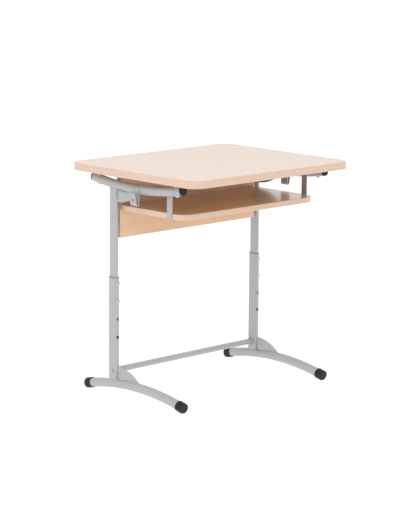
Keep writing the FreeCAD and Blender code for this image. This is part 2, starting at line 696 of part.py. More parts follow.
def top_gusset(side):
    x = side * POST_X
    slit_start = UPPER_POST_FRONT - GUSSET_TUBE_SLIT_LENGTH
    slit = arc_rod(x, ARC_TUBE_RADIUS + GUSSET_SLIT_WIDTH, slit_start, POST_Y)
    return gusset(x, UPPER_POST_FRONT, arc_height(UPPER_POST_FRONT), 1, arc_outer(side), slit)


def table_spacers():
    pads = []
    hole_radius = TABLE_SCREW_RADIUS + TABLE_SCREW_HOLE_CLEARANCE
    for side in SIDES.values():
        tube = arc_outer(side)
        for y in table_screw_ys():
            start = vec(side * POST_X, y, arc_height(y))
            pad = rod(SPACER_RADIUS, start, Z_AXIS, TABLE_UNDERSIDE - start.z)
            pads.append(pad.cut(tube).cut(rod(hole_radius, start, Z_AXIS, TABLE_HEIGHT - start.z)))
    return group(pads)


def table_screw_head_bottom(y):
    return arc_height(y) - ARC_TUBE_RADIUS - TABLE_SCREW_HEAD_HEIGHT


def table_screw_shanks():
    shanks = []
    for side in SIDES.values():
        for y in table_screw_ys():
            bottom = table_screw_head_bottom(y)
            length = TABLE_UNDERSIDE + TABLE_SCREW_BITE - bottom
            shanks.append(rod(TABLE_SCREW_RADIUS, vec(side * POST_X, y, bottom), Z_AXIS, length))
    return shanks


def table_screws():
    # The head is hollowed to sit on the round tube.
    screws = []
    for shank in table_screw_shanks():
        middle = shank.BoundBox.Center
        start = vec(middle.x, middle.y, shank.BoundBox.ZMin)
        head = rod(TABLE_SCREW_HEAD_RADIUS, start, Z_AXIS, TABLE_SCREW_HEAD_HEIGHT + ARC_TUBE_RADIUS)
        low_rim = [edge for edge in head.Edges if edge.BoundBox.ZMax < start.z + TABLE_SCREW_HEAD_HEIGHT / 2]
        head = head.makeFillet(TABLE_SCREW_HEAD_ROUNDING, low_rim)
        head = head.cut(arc_outer(math.copysign(1, middle.x)))
        screws.append(head.fuse(shank).removeSplitter())
    return group(screws)


# Flat steel

def bent_strip(points, bend_radius, thickness, y, width):
    # An L-shaped strip in the XZ plane with a round bend, along three points of its outer face.
    # The first point is on the strip's outer side, the second is its corner.
    start, corner, end = points
    along = (start - corner).normalize()
    across = (end - corner).normalize()
    outer_radius = bend_radius + thickness
    centre = corner + along * outer_radius + across * outer_radius
    diagonal = (along + across) * (-math.sqrt(0.5))
    outer_arc = [centre - across * outer_radius, centre + diagonal * outer_radius, centre - along * outer_radius]
    inner_arc = [centre - along * bend_radius, centre + diagonal * bend_radius, centre - across * bend_radius]
    end_inside = end + along * thickness
    start_inside = start + across * thickness
    edges = [
        Part.LineSegment(start, outer_arc[0]),
        Part.Arc(*outer_arc),
        Part.LineSegment(outer_arc[2], end),
        Part.LineSegment(end, end_inside),
        Part.LineSegment(end_inside, inner_arc[0]),
        Part.Arc(*inner_arc),
        Part.LineSegment(inner_arc[2], start_inside),
        Part.LineSegment(start_inside, start),
    ]
    face = Part.Face(Part.Wire([edge.toShape() for edge in edges]))
    face.translate(vec(0, y - width / 2, 0))
    return face.extrude(vec(0, width, 0))


def corner_edges(shape, direction, axis, value):
    # The straight edges along a direction that lie near a value on an axis.
    found = []
    for edge in shape.Edges:
        box = edge.BoundBox
        spans = {"x": box.XLength, "y": box.YLength, "z": box.ZLength}
        middle = {"x": box.Center.x, "y": box.Center.y, "z": box.Center.z}
        others = [length for name, length in spans.items() if name != direction]
        along = max(others) < EDGE_TOLERANCE < spans[direction]
        if along and abs(middle[axis] - value) < EDGE_TOLERANCE:
            found.append(edge)
    return found


def shelf_strap(side):
    top = arc_height(STRAP_MIDDLE) + STRAP_TOP_RISE
    bottom = SHELF_UNDERSIDE - STRAP_THICKNESS
    foot_end = STRAP_OUTER_FACE - STRAP_FOOT
    points = [vec(STRAP_OUTER_FACE, 0, top), vec(STRAP_OUTER_FACE, 0, bottom), vec(foot_end, 0, bottom)]
    strap = bent_strip(points, STRAP_BEND_RADIUS, STRAP_THICKNESS, STRAP_MIDDLE, STRAP_WIDTH)
    strap = strap.makeFillet(STRAP_CORNER_RADIUS, corner_edges(strap, "z", "x", foot_end))
    strap = strap.cut(arc_outer(1))
    for base, direction in strap_screw_places():
        strap = strap.cut(rod(SCREW_RADIUS, base - direction * OVERRUN, direction, 2 * OVERRUN))
    return mirrored(strap, side)


def strap_screw_places():
    x = STRAP_OUTER_FACE - STRAP_FOOT + SCREW_EDGE_MARGIN
    offset = STRAP_WIDTH / 2 - SCREW_EDGE_MARGIN
    return [(vec(x, STRAP_MIDDLE + step * offset, SHELF_UNDERSIDE), Z_AXIS) for step in (-1, 1)]


def angle_shelf_screw_places(x):
    y = PANEL_FRONT - ANGLE_SHELF_LEG + SCREW_EDGE_MARGIN
    offset = ANGLE_LENGTH / 2 - SCREW_EDGE_MARGIN
    return [(vec(x + step * offset, y, SHELF_UNDERSIDE), Z_AXIS) for step in (-1, 1)]


def angle_panel_screw_places(x):
    z = SHELF_UNDERSIDE - ANGLE_PANEL_LEG + SCREW_EDGE_MARGIN
    offset = ANGLE_LENGTH / 2 - SCREW_EDGE_MARGIN
    return [(vec(x + step * offset, PANEL_FRONT, z), Y_AXIS) for step in (-1, 1)]


def shelf_screw_places():
    places = []
    for base, direction in strap_screw_places():
        places.append((base, direction))
        places.append((vec(-base.x, base.y, base.z), direction))
    for side in SIDES.values():
        places.extend(angle_shelf_screw_places(side * ANGLE_SPACING / 2))
    return places


def shelf_angle(side):
    # An angle under the shelf's back edge, screwed to the shelf and to the panel.
    x = side * ANGLE_SPACING / 2
    leg_end = PANEL_FRONT - ANGLE_SHELF_LEG
    low = SHELF_UNDERSIDE - ANGLE_PANEL_LEG
    points = [vec(PANEL_FRONT, 0, low), vec(PANEL_FRONT, 0, SHELF_UNDERSIDE), vec(leg_end, 0, SHELF_UNDERSIDE)]
    angle = bent_strip(points, ANGLE_BEND_RADIUS, ANGLE_THICKNESS, -x, ANGLE_LENGTH)
    angle.rotate(ORIGIN, Z_AXIS, 90)
    for base, direction in angle_shelf_screw_places(x) + angle_panel_screw_places(x):
        angle = angle.cut(rod(SCREW_RADIUS, base - direction * OVERRUN, direction, 2 * OVERRUN))
    return angle


def shelf_screws():
    strap_places = strap_screw_places()
    screws = []
    for side in SIDES.values():
        screws += [mirrored(piece, side) for piece in small_screws(strap_places, STRAP_THICKNESS)]
        screws += small_screws(angle_shelf_screw_places(side * ANGLE_SPACING / 2), ANGLE_THICKNESS)
    return group(screws)


def lug_heights():
    margin = LUG_END_MARGIN + LUG_HEIGHT / 2
    return [PANEL_BOTTOM + margin, PANEL_TOP - margin]


def lug_screw_places(side):
    x = side * (POST_X - LUG_INNER_REACH + SCREW_EDGE_MARGIN)
    return [(vec(x, PANEL_REAR, height), -Y_AXIS) for height in lug_heights()]


def panel_lugs(side):
    # Plates behind the panel, welded to the inner side of the upper post.
    lugs = []
    for height in lug_heights():
        low = vec(POST_X - LUG_INNER_REACH, PANEL_REAR, height - LUG_HEIGHT / 2)
        high = vec(POST_X - UPPER_POST_WIDTH / 2, PANEL_REAR + LUG_THICKNESS, height + LUG_HEIGHT / 2)
        lug = block(low, high)
        lug = lug.makeFillet(LUG_CORNER_RADIUS, corner_edges(lug, "y", "x", low.x))
        for base, direction in lug_screw_places(1):
            lug = lug.cut(rod(SCREW_RADIUS, base - direction * OVERRUN, direction, 2 * OVERRUN))
        lugs.append(mirrored(lug, side))
    return group(lugs)


def panel_screw_places():
    places = []
    for side in SIDES.values():
        places.extend(lug_screw_places(side))
        places.extend(angle_panel_screw_places(side * ANGLE_SPACING / 2))
    return places


def panel_screws():
    screws = []
    for side in SIDES.values():
        screws += small_screws(lug_screw_places(side), LUG_THICKNESS)
        screws += small_screws(angle_panel_screw_places(side * ANGLE_SPACING / 2), ANGLE_THICKNESS)
    return group(screws)


def hook_profile(bottom, weld_top, lip_top):
    # The hook's outline in the XZ plane: an upright leg, a tight bend and a leg that leans outwards.
    inner_face = ARC_OUTER_SIDE - WELD_SINK
    lip_face = TABLE_WIDTH / 2 - HOOK_SIDE_MARGIN
    outer_radius = HOOK_BEND_RADIUS + HOOK_THICKNESS
    centre = vec(inner_face + outer_radius, 0, bottom + outer_radius)
    lip = vec(lip_face, 0, lip_top)
    reach = lip - centre
    lean = math.acos(outer_radius / reach.Length) - math.atan2(reach.z, reach.x)
    outwards = vec(math.cos(lean), 0, -math.sin(lean))
    down = -Z_AXIS
    edges = [
        Part.LineSegment(vec(inner_face, 0, weld_top), centre - X_AXIS * outer_radius),
        Part.Arc(centre - X_AXIS * outer_radius, centre + down * outer_radius, centre + outwards * outer_radius),
        Part.LineSegment(centre + outwards * outer_radius, lip),
        Part.LineSegment(lip, lip - outwards * HOOK_THICKNESS),
        Part.LineSegment(lip - outwards * HOOK_THICKNESS, centre + outwards * HOOK_BEND_RADIUS),
        Part.Arc(centre + outwards * HOOK_BEND_RADIUS, centre + down * HOOK_BEND_RADIUS,
                 centre - X_AXIS * HOOK_BEND_RADIUS),
        Part.LineSegment(centre - X_AXIS * HOOK_BEND_RADIUS, vec(inner_face + HOOK_THICKNESS, 0, weld_top)),
        Part.LineSegment(vec(inner_face + HOOK_THICKNESS, 0, weld_top), vec(inner_face, 0, weld_top)),
    ]
    return Part.Face(Part.Wire([edge.toShape() for edge in edges]))


def bag_hook(side):
    # A bent flat strip, welded with its upright leg to the arc's outer side.
    bottom = arc_height(HOOK_MIDDLE) - HOOK_DROP
    weld_top = arc_height(HOOK_MIDDLE) + HOOK_WELD_RISE
    lip_top = bottom + HOOK_LIP_HEIGHT
    face = hook_profile(bottom, weld_top, lip_top)
    face.translate(vec(0, HOOK_MIDDLE - HOOK_WIDTH / 2, 0))
    hook = face.extrude(vec(0, HOOK_WIDTH, 0))
    middle_x = ARC_OUTER_SIDE - WELD_SINK + HOOK_BEND_RADIUS + HOOK_THICKNESS
    corners = []
    for edge in hook.Edges:
        box = edge.BoundBox
        if box.YLength < EDGE_TOLERANCE and box.XMin > middle_x and box.ZMin > lip_top - HOOK_THICKNESS:
            corners.append(edge)
    hook = hook.makeFillet(HOOK_CORNER_RADIUS, corners)
    start = vec(middle_x, HOOK_MIDDLE, bottom + HOOK_HOLE_HEIGHT)
    hook = hook.cut(rod(HOOK_HOLE_RADIUS, start, X_AXIS, TABLE_WIDTH / 2 - middle_x + OVERRUN))
    return mirrored(hook.cut(arc_outer(1)), side)


def build():
    os.makedirs("parts", exist_ok=True)
    for side_name, side in SIDES.items():
        save(side_name + "_foot_tube", foot_tube(side))
        save(side_name + "_lower_post", lower_post(side))
        save(side_name + "_foot_gusset", foot_gusset(side))
        save(side_name + "_guide_bush", guide_bush(side))
        save(side_name + "_upper_post", upper_post(side))
        save(side_name + "_post_glide", post_glide(side))
        save(side_name + "_top_arc", top_arc(side))
        save(side_name + "_top_gusset", top_gusset(side))
        save(side_name + "_bag_hook", bag_hook(side))
        save(side_name + "_shelf_strap", shelf_strap(side))
        save(side_name + "_shelf_angle", shelf_angle(side))
        save(side_name + "_panel_lugs", panel_lugs(side))
        for end_name, end in arc_ends().items():
            save(side_name + "_" + end_name + "_foot_cap", foot_cap(side, end))
            save(side_name + "_" + end_name + "_arc_plug", arc_plug(side, end))
    save("crossbar", crossbar())
    save("crossbar_inserts", crossbar_inserts())
    save("crossbar_washers", crossbar_washers())
    save("crossbar_bolts", crossbar_bolts())
    save("height_bolts", height_bolts())
    save("height_nuts", height_nuts())
    save("tabletop_spacers", table_spacers())
    save("tabletop_screws", table_screws())
    save("shelf_screws", shelf_screws())
    save("panel_screws", panel_screws())
    for boards in (table_boards(), shelf_boards(), panel_boards()):
        for name, shape in boards.items():
            save(name, shape)


build()
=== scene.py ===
import json
import logging
import math
from abc import ABC, abstractmethod
from dataclasses import dataclass
from enum import Enum
from typing import Callable, Iterable, Sequence

import bpy
from mathutils import Matrix, Vector


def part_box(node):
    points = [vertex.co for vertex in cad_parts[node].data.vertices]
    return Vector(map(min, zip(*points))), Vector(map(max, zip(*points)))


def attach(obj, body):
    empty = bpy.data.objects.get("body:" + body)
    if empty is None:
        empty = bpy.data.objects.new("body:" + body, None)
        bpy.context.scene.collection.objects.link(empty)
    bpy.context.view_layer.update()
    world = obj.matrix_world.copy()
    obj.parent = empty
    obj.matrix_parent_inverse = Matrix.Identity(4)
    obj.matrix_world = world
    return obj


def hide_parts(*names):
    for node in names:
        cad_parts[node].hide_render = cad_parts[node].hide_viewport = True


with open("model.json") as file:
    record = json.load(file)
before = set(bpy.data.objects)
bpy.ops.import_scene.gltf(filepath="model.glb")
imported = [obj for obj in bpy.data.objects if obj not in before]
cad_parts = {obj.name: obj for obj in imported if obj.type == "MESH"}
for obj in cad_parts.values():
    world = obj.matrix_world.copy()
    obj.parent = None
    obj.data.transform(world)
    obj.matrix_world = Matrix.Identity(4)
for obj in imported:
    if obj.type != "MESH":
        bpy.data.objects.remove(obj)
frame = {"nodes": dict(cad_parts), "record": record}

# A height adjustable school desk, in metres. X runs to the sitter's right, Y away from the sitter, Z up.

log = logging.getLogger("school_desk")
Colour = tuple[float, float, float]
Tones = tuple[tuple[float, float], ...]
WHITE: Colour = (1.0, 1.0, 1.0)

# How far a face's normal points along Y before the face counts as an end face, and as a flat one
END_SHARE = 0.9
FLAT_SHARE = 0.999


class Body(Enum):
    """The two bodies of the desk that move against each other."""

    LOWER = "lower_frame"
    UPPER = "upper_frame"


class Side(Enum):
    """Left and right of the sitter, as the sign of X."""

    LEFT = -1
    RIGHT = 1

    @property
    def word(self) -> str:
        """The side's name as it stands in node names."""
        return self.name.lower()


class End(Enum):
    """The two ends of a bent tube, as the sign of Y."""

    FRONT = -1
    REAR = 1

    @property
    def word(self) -> str:
        """The end's name as it stands in node names."""
        return self.name.lower()


class Grain(Enum):
    """How a board's pattern is stretched, as the scale along X, Y and Z."""

    ALONG_WIDTH = (1.0, 14.0, 14.0)
    ROUND_THE_EDGE = (2.0, 2.0, 60.0)


# Materials

class Graph:
    """The node tree of one material, with short ways to add and join nodes."""

    MIX_FACTOR = 0
    MIX_FIRST_COLOUR = 6
    MIX_SECOND_COLOUR = 7
    MIX_RESULT_COLOUR = 2

    def __init__(self, name: str) -> None:
        """Makes an empty material with a Principled shader.

        Args:
            name: The material's name.
        """
        self.material = bpy.data.materials.new(name)
        self.material.use_nodes = True
        self.tree = self.material.node_tree
        self.tree.nodes.clear()
        self.output = self.tree.nodes.new("ShaderNodeOutputMaterial")
        self.shader = self.tree.nodes.new("ShaderNodeBsdfPrincipled")
        self.join(self.shader.outputs["BSDF"], self.output.inputs["Surface"])

    def join(self, source: bpy.types.NodeSocket, target: bpy.types.NodeSocket) -> None:
        """Links two sockets."""
        self.tree.links.new(source, target)

    def fix(self, **values: float | Colour) -> None:
        """Sets constants on the shader's own sockets.

        Args:
            values: Socket names, with underscores for spaces, and their values.
        """
        for name, value in values.items():
            socket = self.shader.inputs[name.replace("_", " ")]
            socket.default_value = (*value, 1.0) if isinstance(value, tuple) else value

    def place(self, scale: Sequence[float] = (1.0, 1.0, 1.0)) -> bpy.types.NodeSocket:
        """Object coordinates, stretched.

        Args:
            scale: The factor along X, Y and Z.

        Returns:
            The vector socket.
        """
        where = self.tree.nodes.new("ShaderNodeTexCoord")
        mapping = self.tree.nodes.new("ShaderNodeMapping")
        mapping.inputs["Scale"].default_value = scale
        self.join(where.outputs["Object"], mapping.inputs["Vector"])
        return mapping.outputs["Vector"]

    def noise(self, vector: bpy.types.NodeSocket, scale: float, detail: float = 2.0,
              roughness: float = 0.5) -> bpy.types.NodeSocket:
        """A noise pattern.

        Args:
            vector: The coordinates.
            scale: Waves per metre.
            detail: The number of octaves.
            roughness: How much the fine octaves count.

        Returns:
            The factor socket.
        """
        node = self.tree.nodes.new("ShaderNodeTexNoise")
        node.inputs["Scale"].default_value = scale
        node.inputs["Detail"].default_value = detail
        node.inputs["Roughness"].default_value = roughness
        self.join(vector, node.inputs["Vector"])
        return node.outputs["Fac"]

    def cells(self, vector: bpy.types.NodeSocket, scale: float) -> bpy.types.NodeSocket:
        """The distance to the nearest of many scattered points.

        Args:
            vector: The coordinates.
            scale: Points per metre.

        Returns:
            The distance socket.
        """
        node = self.tree.nodes.new("ShaderNodeTexVoronoi")
        node.inputs["Scale"].default_value = scale
        self.join(vector, node.inputs["Vector"])
        return node.outputs["Distance"]

    def ramp(self, factor: bpy.types.NodeSocket,
             stops: Iterable[tuple[float, Colour]]) -> bpy.types.NodeSocket:
        """A colour ramp.

        Args:
            factor: What drives the ramp.
            stops: Positions from 0 to 1 and their colours.

        Returns:
            The colour socket.
        """
        node = self.tree.nodes.new("ShaderNodeValToRGB")
        elements = node.color_ramp.elements
        for index, (position, colour) in enumerate(stops):
            element = elements[index] if index < len(elements) else elements.new(position)
            element.position = position
            element.color = (*colour, 1.0)
        self.join(factor, node.inputs["Fac"])
        return node.outputs["Color"]

    def shades(self, factor: bpy.types.NodeSocket, colour: Colour, tones: Tones) -> bpy.types.NodeSocket:
        """A ramp through darker and lighter tones of one colour.

        Args:
            factor: What drives the ramp.
            colour: The colour.
            tones: Positions from 0 to 1 and the brightness at each of them.

        Returns:
            The colour socket.
        """
        return self.ramp(factor, [(position, toned(colour, tone)) for position, tone in tones])

    def span(self, factor: bpy.types.NodeSocket, low: float, high: float) -> bpy.types.NodeSocket:
        """Maps a factor from 0..1 to low..high.

        Args:
            factor: What is mapped.
            low: The result at 0.
            high: The result at 1.

        Returns:
            The result socket.
        """
        node = self.tree.nodes.new("ShaderNodeMapRange")
        node.inputs["To Min"].default_value = low
        node.inputs["To Max"].default_value = high
        self.join(factor, node.inputs["Value"])
        return node.outputs["Result"]

    def blend(self, factor: bpy.types.NodeSocket, first: bpy.types.NodeSocket,
              second: bpy.types.NodeSocket) -> bpy.types.NodeSocket:
        """Mixes two colours.

        Args:
            factor: 0 gives the first colour and 1 the second.
            first: The first colour.
            second: The second colour.

        Returns:
            The colour socket.
        """
        node = self.tree.nodes.new("ShaderNodeMix")
        node.data_type = "RGBA"
        self.join(factor, node.inputs[self.MIX_FACTOR])
        self.join(first, node.inputs[self.MIX_FIRST_COLOUR])
        self.join(second, node.inputs[self.MIX_SECOND_COLOUR])
        return node.outputs[self.MIX_RESULT_COLOUR]

    def bump(self, height: bpy.types.NodeSocket, distance: float, strength: float = 1.0) -> None:
        """Gives the shader a bumpy surface.

        Args:
            height: The pattern, from 0 to 1.
            distance: The height of the pattern in metres.
            strength: How much of it shows.
        """
        node = self.tree.nodes.new("ShaderNodeBump")
        node.inputs["Strength"].default_value = strength
        node.inputs["Distance"].default_value = distance
        self.join(height, node.inputs["Height"])
        self.join(node.outputs["Normal"], self.shader.inputs["Normal"])


def toned(colour: Colour, factor: float) -> Colour:
    """A colour made lighter or darker by a factor."""
    return tuple(min(1.0, channel * factor) for channel in colour)


class Finish(ABC):
    """A surface finish that can be laid on any piece."""

    name: str

    @abstractmethod
    def paint(self, graph: Graph) -> None:
        """Builds the finish in a new material's graph."""

    def material(self) -> bpy.types.Material:
        """The finish's material, made once.

        Returns:
            The material.
        """
        made = bpy.data.materials.get(self.name)
        if made is None:
            graph = Graph(self.name)
            self.paint(graph)
            made = graph.material
        return made


@dataclass(frozen=True)
class PowderCoat(Finish):
    """Silver-grey powder coat with a fine orange-peel surface."""

    name: str
    colour: Colour
    metallic: float = 0.15
    cloud_waves: float = 9.0
    cloud_detail: float = 3.0
    cloud_tones: Tones = ((0.3, 0.965), (0.7, 1.03))
    flake_points: float = 2600.0
    flake_tones: Tones = ((0.05, 1.18), (0.32, 1.0))
    flake_patch_waves: float = 1500.0
    flake_share: float = 0.35
    gloss_waves: float = 40.0
    smooth: float = 0.34
    rough: float = 0.46
    peel_waves: float = 620.0
    peel_detail: float = 1.0
    peel_height: float = 0.00012
    peel_strength: float = 0.35

    def paint(self, graph: Graph) -> None:
        """Builds the powder coat in a new material.

        Args:
            graph: The material's graph.
        """
        place = graph.place()
        cloud = graph.noise(place, self.cloud_waves, detail=self.cloud_detail)
        tones = graph.shades(cloud, self.colour, self.cloud_tones)
        flakes = graph.shades(graph.cells(place, self.flake_points), self.colour, self.flake_tones)
        share = graph.span(graph.noise(place, self.flake_patch_waves), 0.0, self.flake_share)
        graph.join(graph.blend(share, tones, flakes), graph.shader.inputs["Base Color"])
        gloss = graph.noise(place, self.gloss_waves)
        graph.join(graph.span(gloss, self.smooth, self.rough), graph.shader.inputs["Roughness"])
        peel = graph.noise(place, self.peel_waves, detail=self.peel_detail)
        graph.bump(peel, self.peel_height, self.peel_strength)
        graph.fix(Metallic=self.metallic)


@dataclass(frozen=True)
class BrightZinc(Finish):
    """Zinc-plated steel of bolts, washers, screws and shelf angles."""

    name: str
    colour: Colour
    spangle_waves: float = 260.0
    spangle_detail: float = 4.0
    spangle_tones: Tones = ((0.25, 0.86), (0.75, 1.06))
    gloss_waves: float = 900.0
    smooth: float = 0.2
    rough: float = 0.38
    grit_waves: float = 1400.0
    grit_height: float = 0.00004
    grit_strength: float = 0.4

    def paint(self, graph: Graph) -> None:
        """Builds the plating in a new material.

        Args:
            graph: The material's graph.
        """
        place = graph.place()
        spangle = graph.noise(place, self.spangle_waves, detail=self.spangle_detail)
        tones = graph.shades(spangle, self.colour, self.spangle_tones)
        graph.join(tones, graph.shader.inputs["Base Color"])
        gloss = graph.noise(place, self.gloss_waves)
        graph.join(graph.span(gloss, self.smooth, self.rough), graph.shader.inputs["Roughness"])
        graph.bump(graph.noise(place, self.grit_waves), self.grit_height, self.grit_strength)
        graph.fix(Metallic=1.0)


@dataclass(frozen=True)
class MouldedPlastic(Finish):
    """Moulded plastic with a fine spark-eroded grain."""

    name: str
    colour: Colour
    smooth: float
    rough: float
    shine: float = 0.5
    flow_waves: float = 55.0
    flow_detail: float = 3.0
    flow_tones: Tones = ((0.2, 0.85), (0.8, 1.2))
    spark_points: float = 1500.0
    spark_height: float = 0.00008
    spark_strength: float = 0.5

    def paint(self, graph: Graph) -> None:
        """Builds the plastic in a new material.

        Args:
            graph: The material's graph.
        """
        place = graph.place()
        flow = graph.noise(place, self.flow_waves, detail=self.flow_detail)
        graph.join(graph.shades(flow, self.colour, self.flow_tones), graph.shader.inputs["Base Color"])
        graph.join(graph.span(flow, self.smooth, self.rough), graph.shader.inputs["Roughness"])
        graph.bump(graph.cells(place, self.spark_points), self.spark_height, self.spark_strength)
        graph.fix(Specular_IOR_Level=self.shine)


@dataclass(frozen=True)
class BeechLaminate(Finish):
    """Laminate printed as beech, with long grain and the short flecks of that wood."""

    name: str
    light: Colour
    dark: Colour
    fleck: Colour
    smooth: float = 0.3
    rough: float = 0.38
    gloss: float = 0.0
    grain: Grain = Grain.ALONG_WIDTH
    grain_waves: float = 3.2
    grain_detail: float = 5.0
    grain_roughness: float = 0.6
    dark_until: float = 0.32
    light_from: float = 0.62
    fine_scale: float = 1.6
    fleck_points: float = 46.0
    fleck_shape: Tones = ((0.0, 1.0), (0.16, 0.0))
    fleck_share: float = 0.34
    fleck_tones: Tones = ((0.0, 1.0), (1.0, 1.08))
    pore_waves: float = 120.0
    pore_detail: float = 2.0
    pore_height: float = 0.00003
    pore_strength: float = 0.3

    def paint(self, graph: Graph) -> None:
        """Builds the wood print in a new material.

        Args:
            graph: The material's graph.
        """
        stretch = self.grain.value
        long_grain = graph.place(stretch)
        broad = graph.noise(long_grain, self.grain_waves, detail=self.grain_detail,
                            roughness=self.grain_roughness)
        tones = graph.ramp(broad, [(self.dark_until, self.dark), (self.light_from, self.light)])
        fine_place = graph.place(tuple(factor * self.fine_scale for factor in stretch))
        flecks = graph.shades(graph.cells(fine_place, self.fleck_points), WHITE, self.fleck_shape)
        fleck_tone = graph.shades(broad, self.fleck, self.fleck_tones)
        flecked = graph.blend(graph.span(flecks, 0.0, self.fleck_share), tones, fleck_tone)
        graph.join(flecked, graph.shader.inputs["Base Color"])
        pores = graph.noise(fine_place, self.pore_waves, detail=self.pore_detail)
        graph.join(graph.span(pores, self.smooth, self.rough), graph.shader.inputs["Roughness"])
        graph.bump(pores, self.pore_height, self.pore_strength)
        graph.fix(Coat_Weight=self.gloss, Coat_Roughness=self.smooth)


@dataclass(frozen=True)
class Chipboard(Finish):
    """The pressed chips of a board's core."""

    name: str
    colour: Colour
    stretch: tuple[float, float, float] = (1.0, 1.0, 2.5)
    chip_points: float = 240.0
    chip_tones: Tones = ((0.1, 0.6), (0.5, 1.0), (0.9, 1.3))
    chip_height: float = 0.0004
    smooth: float = 0.75
    rough: float = 0.95

    def paint(self, graph: Graph) -> None:
        """Builds the chips in a new material.

        Args:
            graph: The material's graph.
        """
        chips = graph.cells(graph.place(self.stretch), self.chip_points)
        graph.join(graph.shades(chips, self.colour, self.chip_tones), graph.shader.inputs["Base Color"])
        graph.join(graph.span(chips, self.smooth, self.rough), graph.shader.inputs["Roughness"])
        graph.bump(chips, self.chip_height)


@dataclass(frozen=True)
class StudioPaper(Finish):
    """The pale paper that the desk stands on."""

    name: str
    colour: Colour
    glow: float
    fibre_waves: float = 30.0
    fibre_detail: float = 3.0
    fibre_tones: Tones = ((0.3, 0.985), (0.7, 1.0))
    rough: float = 0.9

    def paint(self, graph: Graph) -> None:
        """Builds the paper in a new material.

        Args:
            graph: The material's graph.
        """
        fibre = graph.noise(graph.place(), self.fibre_waves, detail=self.fibre_detail)
        graph.join(graph.shades(fibre, self.colour, self.fibre_tones), graph.shader.inputs["Base Color"])
        graph.fix(Roughness=self.rough, Emission_Color=WHITE, Emission_Strength=self.glow)


@dataclass(frozen=True)
class Palette:
    """All finishes of the desk."""

    steel: Finish = PowderCoat("silver_powder_coat", (0.435, 0.437, 0.452))
    zinc: Finish = BrightZinc("bright_zinc", (0.62, 0.62, 0.61))
    black: Finish = MouldedPlastic("black_moulded_plastic", (0.0165, 0.0132, 0.0142),
                                   smooth=0.46, rough=0.66, shine=0.34)
    guide: Finish = MouldedPlastic("grey_guide_plastic", (0.16, 0.163, 0.172), smooth=0.5, rough=0.62)
    table: Finish = BeechLaminate("pale_beech_laminate", (0.83, 0.645, 0.525), (0.79, 0.60, 0.48),
                                  (0.66, 0.45, 0.32), gloss=0.6)
    # The panel and shelf beech print is painted darker and more orange than the tabletop's: painted
    # shade of the space under the tabletop
    board: Finish = BeechLaminate("beech_board_laminate", (0.735, 0.485, 0.287), (0.68, 0.426, 0.236),
                                  (0.52, 0.30, 0.16), smooth=0.2, rough=0.27, gloss=0.8)
    # The tabletop's underside is painted in the board's darker, more orange tone: painted shade under
    # the tabletop
    underside: Finish = BeechLaminate("beech_underside_laminate", (0.75, 0.49, 0.28),
                                      (0.70, 0.435, 0.235), (0.56, 0.34, 0.18), smooth=0.5, rough=0.6)
    edge: Finish = BeechLaminate("beech_edge_band", (0.722, 0.525, 0.408), (0.687, 0.485, 0.368),
                                 (0.606, 0.39, 0.272), smooth=0.32, rough=0.42,
                                 grain=Grain.ROUND_THE_EDGE)
    core: Finish = Chipboard("pressed_chipboard", (0.52, 0.38, 0.24))
    paper: Finish = StudioPaper("white_studio_paper", (0.22, 0.22, 0.22), 0.9)

    def by_slot(self) -> dict[str, Finish]:
        """Sorts the finishes by the record's material slots.

        Returns:
            The finish of each slot.
        """
        return {
            "frame_steel": self.steel,
            "bright_steel": self.zinc,
            "black_plastic": self.black,
            "guide_plastic": self.guide,
            "board_core": self.core,
            "tabletop_laminate": self.table,
            "balancing_laminate": self.underside,
            "board_laminate": self.board,
            "edge_band": self.edge,
        }


# Modelling with Blender's operators

